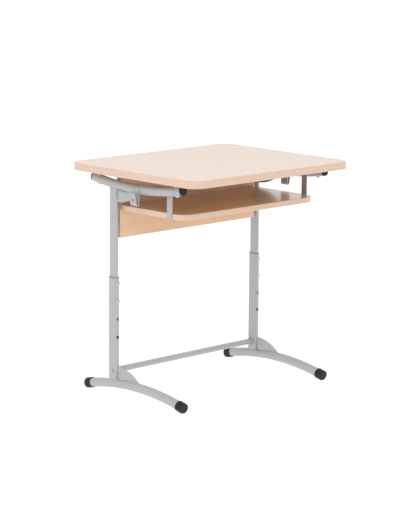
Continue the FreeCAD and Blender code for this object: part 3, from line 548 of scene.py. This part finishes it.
class Workpiece:
    """One mesh object that is shaped with Blender's edit tools."""

    BALL_SUBDIVISIONS = 2

    def __init__(self, name: str) -> None:
        """Takes the primitive that was just added.

        Args:
            name: The piece's name.
        """
        self.piece = bpy.context.object
        self.piece.name = name
        self.piece.data.name = name

    @staticmethod
    def clear() -> None:
        """Deselects everything, so that operators act on the new piece alone."""
        if bpy.context.object is not None and bpy.context.object.mode != "OBJECT":
            bpy.ops.object.mode_set(mode="OBJECT")
        bpy.ops.object.select_all(action="DESELECT")

    @classmethod
    def cylinder(cls, name: str, radius: float, length: float, sides: int = 64) -> "Workpiece":
        """A cylinder along Y with its middle at the origin.

        Args:
            name: The piece's name.
            radius: The radius in metres.
            length: The length in metres.
            sides: The number of sides.

        Returns:
            The workpiece.
        """
        cls.clear()
        bpy.ops.mesh.primitive_cylinder_add(vertices=sides, radius=radius, depth=length,
                                            rotation=(math.pi / 2, 0.0, 0.0))
        work = cls(name)
        work.settle()
        return work

    @classmethod
    def ball(cls, name: str, radius: float, place: Vector) -> "Workpiece":
        """A small ball.

        Args:
            name: The piece's name.
            radius: The radius in metres.
            place: The middle.

        Returns:
            The workpiece.
        """
        cls.clear()
        bpy.ops.mesh.primitive_ico_sphere_add(subdivisions=cls.BALL_SUBDIVISIONS, radius=radius,
                                              location=place)
        return cls(name)

    def settle(self) -> None:
        """Puts the object's place and turn into its mesh."""
        self.choose()
        bpy.ops.object.transform_apply(location=True, rotation=True, scale=True)

    def choose(self) -> None:
        """Makes this the one selected and active object."""
        self.clear()
        self.piece.select_set(True)
        bpy.context.view_layer.objects.active = self.piece

    def faces(self, wanted: Callable[[bpy.types.MeshPolygon], bool]) -> None:
        """Enters face mode with the wanted faces selected.

        Args:
            wanted: Says whether a face is to be selected.
        """
        self.choose()
        bpy.ops.object.mode_set(mode="EDIT")
        bpy.ops.mesh.select_mode(type="FACE")
        bpy.ops.mesh.select_all(action="DESELECT")
        bpy.ops.object.mode_set(mode="OBJECT")
        for polygon in self.piece.data.polygons:
            polygon.select = wanted(polygon)
        bpy.ops.object.mode_set(mode="EDIT")

    def rim(self, y: float, radius: float, slack: float) -> None:
        """Enters edge mode with one round edge selected.

        Args:
            y: The rim's place along Y.
            radius: The rim's radius.
            slack: How far an edge may be from that rim.
        """
        self.choose()
        bpy.ops.object.mode_set(mode="EDIT")
        bpy.ops.mesh.select_mode(type="EDGE")
        bpy.ops.mesh.select_all(action="DESELECT")
        bpy.ops.object.mode_set(mode="OBJECT")
        mesh = self.piece.data
        for edge in mesh.edges:
            ends = [mesh.vertices[index].co for index in edge.vertices]
            edge.select = all(
                abs(co.y - y) < slack and abs(math.hypot(co.x, co.z) - radius) < slack for co in ends)
        bpy.ops.object.mode_set(mode="EDIT")

    def cut_ring(self, y: float) -> None:
        """Cuts a new edge loop across the Y axis.

        Args:
            y: The loop's place.
        """
        self.choose()
        bpy.ops.object.mode_set(mode="EDIT")
        bpy.ops.mesh.select_all(action="SELECT")
        bpy.ops.mesh.bisect(plane_co=(0.0, y, 0.0), plane_no=(0.0, 1.0, 0.0))
        bpy.ops.object.mode_set(mode="OBJECT")

    def trim_below(self, z: float) -> None:
        """Cuts away all below a height and closes the cut.

        Args:
            z: The height.
        """
        self.choose()
        bpy.ops.object.mode_set(mode="EDIT")
        bpy.ops.mesh.select_all(action="SELECT")
        bpy.ops.mesh.bisect(plane_co=(0.0, 0.0, z), plane_no=(0.0, 0.0, 1.0),
                            use_fill=True, clear_inner=True)
        bpy.ops.object.mode_set(mode="OBJECT")

    def move(self, turn: float, place: Vector) -> None:
        """Turns the piece about X, puts it in place and settles it.

        Args:
            turn: The angle about X in radians.
            place: Where the origin goes.
        """
        self.piece.rotation_euler = (turn, 0.0, 0.0)
        self.piece.location = place
        self.settle()

    def flip_if(self, mirrored: bool) -> None:
        """Turns the piece end for end about Z.

        Args:
            mirrored: Whether to turn it.
        """
        if mirrored:
            self.piece.rotation_euler = (0.0, 0.0, math.pi)
            self.settle()

    def smooth(self, degrees: float = 34.0) -> None:
        """Shades the piece smooth, with edges sharper than an angle left crisp.

        Args:
            degrees: That angle.
        """
        self.choose()
        bpy.ops.object.shade_smooth_by_angle(angle=math.radians(degrees))

    def hand_over(self, body: Body, finish: Finish, slot: str) -> bpy.types.Object:
        """Dresses the piece and lets it ride on a body.

        Args:
            body: The body that it moves with.
            finish: Its finish.
            slot: The record's material slot; not used.

        Returns:
            The finished object.
        """
        self.clear()
        self.piece.data.materials.clear()
        self.piece.data.materials.append(finish.material())
        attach(self.piece, body.value)
        log.info("piece %s: %d faces", self.piece.name, len(self.piece.data.polygons))
        return self.piece


# The two bent tubes, as the frame gives them

@dataclass(frozen=True)
class BentTube:
    """A tube along Y, bent in an upright plane. A negative bend hangs down in the middle."""

    x: float
    apex_y: float
    apex_z: float
    bend: float
    radius: float

    def centre(self, y: float) -> Vector:
        """The middle of the tube at a place along Y.

        Args:
            y: That place.

        Returns:
            The point.
        """
        rise = math.copysign(math.sqrt(self.bend ** 2 - (y - self.apex_y) ** 2), self.bend)
        return Vector((self.x, y, self.apex_z - self.bend + rise))

    def turn(self, y: float) -> float:
        """The tube's slope as an angle about X.

        Args:
            y: The place along Y.

        Returns:
            The angle in radians.
        """
        return math.asin((self.apex_y - y) / self.bend)

    def skin(self, y: float, x_offset: float, upper: bool) -> Vector:
        """A point on the tube's surface.

        Args:
            y: The place along Y.
            x_offset: How far beside the middle.
            upper: Whether the point is on the tube's upper half.

        Returns:
            The point.
        """
        middle = self.centre(y)
        height = math.sqrt(self.radius ** 2 - x_offset ** 2) / math.cos(self.turn(y))
        return middle + Vector((x_offset, 0.0, height if upper else -height))


@dataclass(frozen=True)
class TubeSizes:
    """Bend radii and tube radii, which the frame's boxes don't give."""

    foot_bend: float = 0.98
    foot_radius: float = 0.015
    arc_bend: float = -1.2
    arc_radius: float = 0.015

    def foot(self, side: Side) -> BentTube:
        """The foot tube of one side, which arches up.

        Args:
            side: The side of the desk.

        Returns:
            The tube.
        """
        low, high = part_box(side.word + "_foot_tube")
        middle = (low + high) / 2
        return BentTube(middle.x, middle.y, high.z - self.foot_radius, self.foot_bend, self.foot_radius)

    def arc(self, side: Side) -> BentTube:
        """The tube below the tabletop on one side, which hangs down.

        Args:
            side: The side of the desk.

        Returns:
            The tube.
        """
        low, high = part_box(side.word + "_top_arc")
        middle = (low + high) / 2
        return BentTube(middle.x, middle.y, low.z + self.arc_radius, self.arc_bend, self.arc_radius)


# Sub-assemblies

@dataclass
class FootCaps:
    """The four black caps on the ends of the foot tubes."""

    palette: Palette
    tubes: TubeSizes
    radius: float = 0.0175
    length: float = 0.0287
    bore_radius: float = 0.01525
    bore_depth: float = 0.0245
    nose_rounding: float = 0.0042
    nose_steps: int = 6
    lip_rounding: float = 0.0005
    lip_steps: int = 2
    groove_places: tuple[float, ...] = (0.0045, 0.0095, 0.0145)
    groove_width: float = 0.0016
    groove_slope: float = 0.00032
    groove_depth: float = 0.0005
    dish_rim: float = 0.0058
    dish_depth: float = 0.0009
    slack_share: float = 0.02

    def model(self) -> Workpiece:
        """The cap by itself, with its mouth towards negative Y.

        Returns:
            The workpiece.
        """
        half = self.length / 2
        slack = self.radius * self.slack_share
        work = Workpiece.cylinder("foot_cap", self.radius, self.length)
        self.bore(work, half, slack)
        for place in self.groove_places:
            self.groove(work, place - half)
        self.nose(work, half, slack)
        work.smooth()
        return work

    def bore(self, work: Workpiece, half: float, slack: float) -> None:
        """Sinks the bore that takes the tube's end.

        Args:
            work: The cap.
            half: Half of its length.
            slack: How far a face may be from its place.
        """
        work.faces(lambda face: face.center.y < slack - half and face.normal.y < -END_SHARE)
        bpy.ops.mesh.inset(thickness=self.radius - self.bore_radius, depth=0.0)
        bpy.ops.mesh.extrude_region_move(TRANSFORM_OT_translate={"value": (0.0, self.bore_depth, 0.0)})
        work.rim(-half, self.radius, slack)
        bpy.ops.mesh.bevel(offset=self.lip_rounding, segments=self.lip_steps, affect="EDGES")
        bpy.ops.object.mode_set(mode="OBJECT")

    def groove(self, work: Workpiece, y: float) -> None:
        """Presses one grip groove into the collar.

        Args:
            work: The cap.
            y: The groove's near edge.
        """
        far = y + self.groove_width
        wall_middle = (self.radius + self.bore_radius) / 2
        work.cut_ring(y)
        work.cut_ring(far)
        work.faces(lambda face: y < face.center.y < far
                   and math.hypot(face.center.x, face.center.z) > wall_middle)
        bpy.ops.mesh.inset(thickness=self.groove_slope, depth=-self.groove_depth, use_even_offset=True)
        bpy.ops.object.mode_set(mode="OBJECT")

    def nose(self, work: Workpiece, half: float, slack: float) -> None:
        """Rounds the nose and presses a shallow dish into its face.

        Args:
            work: The cap.
            half: Half of its length.
            slack: How far a face may be from its place.
        """
        work.rim(half, self.radius, slack)
        bpy.ops.mesh.bevel(offset=self.nose_rounding, segments=self.nose_steps, affect="EDGES")
        bpy.ops.object.mode_set(mode="OBJECT")
        work.faces(lambda face: face.center.y > half - slack and face.normal.y > FLAT_SHARE)
        bpy.ops.mesh.inset(thickness=self.dish_rim - self.nose_rounding, depth=0.0)
        bpy.ops.mesh.inset(thickness=self.dish_depth, depth=-self.dish_depth)
        bpy.ops.object.mode_set(mode="OBJECT")

    def fit(self, side: Side, end: End) -> bpy.types.Object:
        """Models one cap and fits it to its tube end.

        Args:
            side: The side of the desk.
            end: The end of the tube.

        Returns:
            The finished cap.
        """
        node = f"{side.word}_{end.word}_foot_cap"
        low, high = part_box(node)
        tube = self.tubes.foot(side)
        middle_y = (low.y + high.y) / 2
        work = self.model()
        work.piece.name = node + "_moulding"
        work.flip_if(end is End.FRONT)
        work.move(tube.turn(middle_y), tube.centre(middle_y))
        work.trim_below(0.0)
        work.smooth()
        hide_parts(node)
        return work.hand_over(Body.LOWER, self.palette.black, "black_plastic")

    def build(self) -> None:
        """Makes all four caps."""
        for side in Side:
            for end in End:
                self.fit(side, end)


@dataclass
class ArcPlugs:
    """The four black domed plugs in the ends of the tubes below the tabletop."""

    palette: Palette
    tubes: TubeSizes
    flange: float = 0.0015
    shoulder: float = 0.0006
    dome_rounding: float = 0.0023
    dome_steps: int = 8
    shank_radius: float = 0.0133
    shank_length: float = 0.009
    gate_rim: float = 0.0022
    gate_depth: float = 0.0004
    slack_share: float = 0.02

    def model(self, head: float) -> Workpiece:
        """The plug by itself, with its shank towards negative Y and its seat at the origin.

        Args:
            head: The length of the part that shows.

        Returns:
            The workpiece.
        """
        radius = self.tubes.arc_radius
        slack = radius * self.slack_share
        work = Workpiece.cylinder("arc_plug", radius, self.flange)
        work.move(0.0, Vector((0.0, self.flange / 2, 0.0)))
        work.faces(lambda face: face.normal.y < -END_SHARE)
        bpy.ops.mesh.inset(thickness=radius - self.shank_radius, depth=0.0)
        bpy.ops.mesh.extrude_region_move(
            TRANSFORM_OT_translate={"value": (0.0, -self.shank_length, 0.0)})
        bpy.ops.object.mode_set(mode="OBJECT")
        work.faces(lambda face: face.normal.y > END_SHARE)
        bpy.ops.mesh.inset(thickness=self.shoulder, depth=0.0)
        bpy.ops.mesh.extrude_region_move(
            TRANSFORM_OT_translate={"value": (0.0, head - self.flange, 0.0)})
        bpy.ops.object.mode_set(mode="OBJECT")
        work.rim(head, radius - self.shoulder, slack)
        bpy.ops.mesh.bevel(offset=self.dome_rounding, segments=self.dome_steps, affect="EDGES")
        bpy.ops.object.mode_set(mode="OBJECT")
        work.faces(lambda face: face.center.y > head - slack and face.normal.y > FLAT_SHARE)
        bpy.ops.mesh.inset(thickness=self.gate_rim, depth=0.0)
        bpy.ops.mesh.inset(thickness=self.gate_depth, depth=-self.gate_depth)
        bpy.ops.object.mode_set(mode="OBJECT")
        work.smooth()
        return work

    def fit(self, side: Side, end: End) -> bpy.types.Object:
        """Models one plug and fits it to its tube end.

        Args:
            side: The side of the desk.
            end: The end of the tube.

        Returns:
            The finished plug.
        """
        node = f"{side.word}_{end.word}_arc_plug"
        tube = self.tubes.arc(side)
        seat_y = self.seat(side, end)
        low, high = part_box(node)
        nose_y = high.y if end is End.REAR else low.y
        work = self.model(abs(nose_y - seat_y) / math.cos(tube.turn(seat_y)))
        work.piece.name = node + "_moulding"
        work.flip_if(end is End.FRONT)
        work.move(tube.turn(seat_y), tube.centre(seat_y))
        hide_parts(node)
        return work.hand_over(Body.UPPER, self.palette.black, "black_plastic")

    def seat(self, side: Side, end: End) -> float:
        """Where the tube's middle line ends.

        Args:
            side: The side of the desk.
            end: The end of the tube.

        Returns:
            The place along Y.
        """
        low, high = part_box(side.word + "_top_arc")
        tube = self.tubes.arc(side)
        outer = high.y if end is End.REAR else low.y
        lean = self.tubes.arc_radius * abs(math.sin(tube.turn(outer)))
        return outer - end.value * lean

    def build(self) -> None:
        """Makes all four plugs."""
        for side in Side:
            for end in End:
                self.fit(side, end)


@dataclass
class WeldSeams:
    """The weld beads that join the tubes, plates and straps."""

    palette: Palette
    tubes: TubeSizes
    bead: float = 0.0019
    pitch: float = 0.0021
    grid: float = 0.0005
    gusset_half: float = 0.002
    gusset_slit: float = 0.048
    gusset_reach: float = 0.098
    gusset_weld: float = 0.011
    strip_share: float = 0.45

    def run(self, name: str, body: Body, points: Sequence[Vector]) -> bpy.types.Object:
        """Lays one bead along points.

        Args:
            name: The bead's name.
            body: The body that it is on.
            points: The places of its ripples.

        Returns:
            The finished bead.
        """
        first = Workpiece.ball(name, self.bead, points[0])
        drops = [first.piece]
        for point in points[1:]:
            drop = first.piece.copy()
            drop.data = first.piece.data.copy()
            drop.location = point
            bpy.context.scene.collection.objects.link(drop)
            drops.append(drop)
        first.clear()
        for drop in drops:
            drop.select_set(True)
        bpy.context.view_layer.objects.active = first.piece
        bpy.ops.object.join()
        first.settle()
        remesh = first.piece.modifiers.new("melt", "REMESH")
        remesh.mode = "VOXEL"
        remesh.voxel_size = self.grid
        remesh.use_smooth_shade = True
        bpy.ops.object.modifier_apply(modifier=remesh.name)
        return first.hand_over(body, self.palette.steel, "frame_steel")

    def spaced(self, start: Vector, stop: Vector) -> list[Vector]:
        """Points along a straight line, one for each ripple.

        Args:
            start: The first point.
            stop: The last point.

        Returns:
            The points.
        """
        gaps = max(1, round((stop - start).length / self.pitch))
        return [start.lerp(stop, step / gaps) for step in range(gaps + 1)]

    def round_post(self, name: str, body: Body, post: str, tube: BentTube, upper: bool) -> None:
        """Lays a bead round a flat-oval post where it meets a tube.

        Args:
            name: The bead's name.
            body: The body that it is on.
            post: The post's node.
            tube: The tube that it stands on or hangs from.
            upper: Whether the post stands on the tube's upper half.
        """
        low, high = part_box(post)
        middle = (low + high) / 2
        radius = (high.x - low.x) / 2
        flat = (high.y - low.y) / 2 - radius
        length = 4 * flat + 2 * math.pi * radius
        count = round(length / self.pitch)
        points = []
        for step in range(count):
            x, y = self.oval_point(length * step / count, radius, flat)
            points.append(tube.skin(middle.y + y, x, upper))
        self.run(name, body, points)

    @staticmethod
    def oval_point(way: float, radius: float, flat: float) -> tuple[float, float]:
        """A point on a flat oval.

        Args:
            way: The distance along the outline from the start of the right flat.
            radius: The radius of the round ends.
            flat: Half of the length of a flat.

        Returns:
            The point's X and Y from the middle.
        """
        bow = math.pi * radius
        if way < 2 * flat:
            return radius, way - flat
        way -= 2 * flat
        if way < bow:
            angle = way / radius
            return radius * math.cos(angle), flat + radius * math.sin(angle)
        way -= bow
        if way < 2 * flat:
            return -radius, flat - way
        angle = (way - 2 * flat) / radius
        return -radius * math.cos(angle), -flat - radius * math.sin(angle)

    def gusset(self, side: Side, name: str, body: Body, post: str, tube: BentTube, upper: bool) -> None:
        """Lays the beads at the two ends of a gusset, on both of its faces.

        Args:
            side: The side of the desk.
            name: The gusset's node.
            body: The body that it is on.
            post: The post that it is welded to.
            tube: The tube that it is welded to.
            upper: Whether the plate stands on the tube's upper half.
        """
        low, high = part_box(name)
        post_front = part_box(post)[0].y
        edge = high.z if upper else low.z
        inward = -1.0 if upper else 1.0
        begin = post_front - self.gusset_slit
        count = round((self.gusset_reach - self.gusset_slit) / self.pitch)
        for face in (-1.0, 1.0):
            label = f"{name}_{'inner' if face * side.value < 0 else 'outer'}"
            x = face * self.gusset_half
            start = Vector((tube.x + x, post_front, edge))
            stop = start + Vector((0.0, 0.0, inward * self.gusset_weld))
            self.run(label + "_post_weld", body, self.spaced(start, stop))
            points = [tube.skin(begin - self.pitch * step, x, upper) for step in range(count)]
            self.run(label + "_tube_weld", body, points)

    def strip(self, name: str, tube: BentTube, face_x: float) -> None:
        """Lays short beads on both edges of a strip that is welded to a tube's side.

        Args:
            name: The strip's node.
            tube: The tube.
            face_x: The strip's welded face.
        """
        low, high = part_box(name)
        half = tube.radius * self.strip_share
        for end, y in ((End.FRONT, low.y), (End.REAR, high.y)):
            middle = tube.centre(y).z
            start = Vector((face_x, y, middle - half))
            stop = Vector((face_x, y, middle + half))
            self.run(f"{name}_{end.word}_weld", Body.UPPER, self.spaced(start, stop))

    def build(self) -> None:
        """Lays all beads."""
        for side in Side:
            foot = self.tubes.foot(side)
            arc = self.tubes.arc(side)
            lower = side.word + "_lower_post"
            upper = side.word + "_upper_post"
            self.round_post(side.word + "_foot_weld", Body.LOWER, lower, foot, True)
            self.round_post(side.word + "_arc_weld", Body.UPPER, upper, arc, False)
            self.gusset(side, side.word + "_foot_gusset", Body.LOWER, lower, foot, True)
            self.gusset(side, side.word + "_top_gusset", Body.UPPER, upper, arc, False)
            outer = side.value * self.tubes.arc_radius
            self.strip(side.word + "_bag_hook", arc, arc.x + outer)
            self.strip(side.word + "_shelf_strap", arc, arc.x - outer)


@dataclass
class Wardrobe:
    """Lays each node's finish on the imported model."""

    palette: Palette

    def dress(self) -> None:
        """Gives every node the finish of its slot in the record."""
        finishes = self.palette.by_slot()
        for part in frame["record"]["subparts"]:
            node = frame["nodes"][part["node"]]
            finish = finishes[part["material_slot"]]
            node.data.materials.clear()
            node.data.materials.append(finish.material())
            log.info("node %s: %s", node.name, finish.name)


# Studio

@dataclass
class Studio:
    """White floor, white surroundings and soft lamps."""

    palette: Palette
    floor_size: float = 60.0
    floor_thickness: float = 0.01
    sky: float = 0.92
    key_power: float = 60.0
    key_size: float = 3.0
    key_place: tuple[float, float, float] = (-3.6, -1.6, 4.4)
    fill_power: float = 4.0
    fill_size: float = 2.5
    fill_place: tuple[float, float, float] = (3.4, -3.2, 1.6)
    target: tuple[float, float, float] = (0.0, 0.0, 0.4)

    def floor(self) -> None:
        """Lays the pale floor as a wide slab."""
        Workpiece.clear()
        bpy.ops.mesh.primitive_plane_add(size=self.floor_size)
        work = Workpiece("studio_floor")
        work.faces(lambda face: True)
        drop = (0.0, 0.0, -self.floor_thickness)
        bpy.ops.mesh.extrude_region_move(TRANSFORM_OT_translate={"value": drop})
        bpy.ops.mesh.select_all(action="SELECT")
        bpy.ops.mesh.normals_make_consistent(inside=False)
        bpy.ops.object.mode_set(mode="OBJECT")
        work.piece.data.materials.append(self.palette.paper.material())

    def surroundings(self) -> None:
        """Sets the even white light from all round."""
        world = bpy.data.worlds.new("white_studio")
        world.use_nodes = True
        background = world.node_tree.nodes["Background"]
        background.inputs["Color"].default_value = (*WHITE, 1.0)
        background.inputs["Strength"].default_value = self.sky
        bpy.context.scene.world = world

    def lamp(self, name: str, power: float, size: float, place: Sequence[float]) -> None:
        """Hangs one soft lamp that points at the desk.

        Args:
            name: The lamp's name.
            power: Its power in watts.
            size: The side of its square in metres.
            place: Where it hangs.
        """
        data = bpy.data.lights.new(name, "AREA")
        data.energy = power
        data.size = size
        lamp = bpy.data.objects.new(name, data)
        lamp.location = place
        aim = Vector(self.target) - Vector(place)
        lamp.rotation_euler = aim.to_track_quat("-Z", "Y").to_euler()
        bpy.context.scene.collection.objects.link(lamp)

    def build(self) -> None:
        """Sets up floor, surroundings and lamps."""
        self.floor()
        self.surroundings()
        self.lamp("key_lamp", self.key_power, self.key_size, self.key_place)
        self.lamp("fill_lamp", self.fill_power, self.fill_size, self.fill_place)
        bpy.context.scene.view_settings.view_transform = "Standard"


@dataclass
class PhotoCamera:
    """The camera at the photograph's viewpoint."""

    place: tuple[float, float, float] = (-4.7485, -4.8742, 1.7200)
    heading: float = 44.247
    dip: float = 10.594
    roll: float = 0.518
    focal_pixels: float = 2071.68
    image_height_pixels: int = 508
    sensor_height: float = 36.0
    reach: float = 200.0

    def turn(self) -> Matrix:
        """The camera's turn as a matrix.

        Returns:
            A 3 by 3 matrix whose columns are the camera's right, up and back.
        """
        heading, dip, roll = (math.radians(angle) for angle in (self.heading, self.dip, self.roll))
        forward = Vector((math.sin(heading) * math.cos(dip),
                          math.cos(heading) * math.cos(dip),
                          -math.sin(dip)))
        level = Vector((math.cos(heading), -math.sin(heading), 0.0))
        upright = level.cross(forward)
        right = level * math.cos(roll) + upright * math.sin(roll)
        up = upright * math.cos(roll) - level * math.sin(roll)
        return Matrix((right, up, -forward)).transposed()

    def build(self) -> None:
        """Makes the camera the scene's own."""
        data = bpy.data.cameras.new("photo_camera")
        data.sensor_fit = "VERTICAL"
        data.sensor_height = self.sensor_height
        data.sensor_width = self.sensor_height
        data.lens = self.sensor_height * self.focal_pixels / self.image_height_pixels
        data.clip_end = self.reach
        camera = bpy.data.objects.new("photo_camera", data)
        camera.matrix_world = Matrix.Translation(Vector(self.place)) @ self.turn().to_4x4()
        bpy.context.scene.collection.objects.link(camera)
        bpy.context.scene.camera = camera


def main() -> None:
    """Builds the desk's looks and the studio round it."""
    logging.basicConfig(level=logging.INFO, format="%(name)s: %(message)s")
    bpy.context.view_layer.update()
    palette = Palette()
    tubes = TubeSizes()
    Wardrobe(palette).dress()
    FootCaps(palette, tubes).build()
    ArcPlugs(palette, tubes).build()
    WeldSeams(palette, tubes).build()
    Studio(palette).build()
    PhotoCamera().build()


if __name__ == "__main__":
    main()
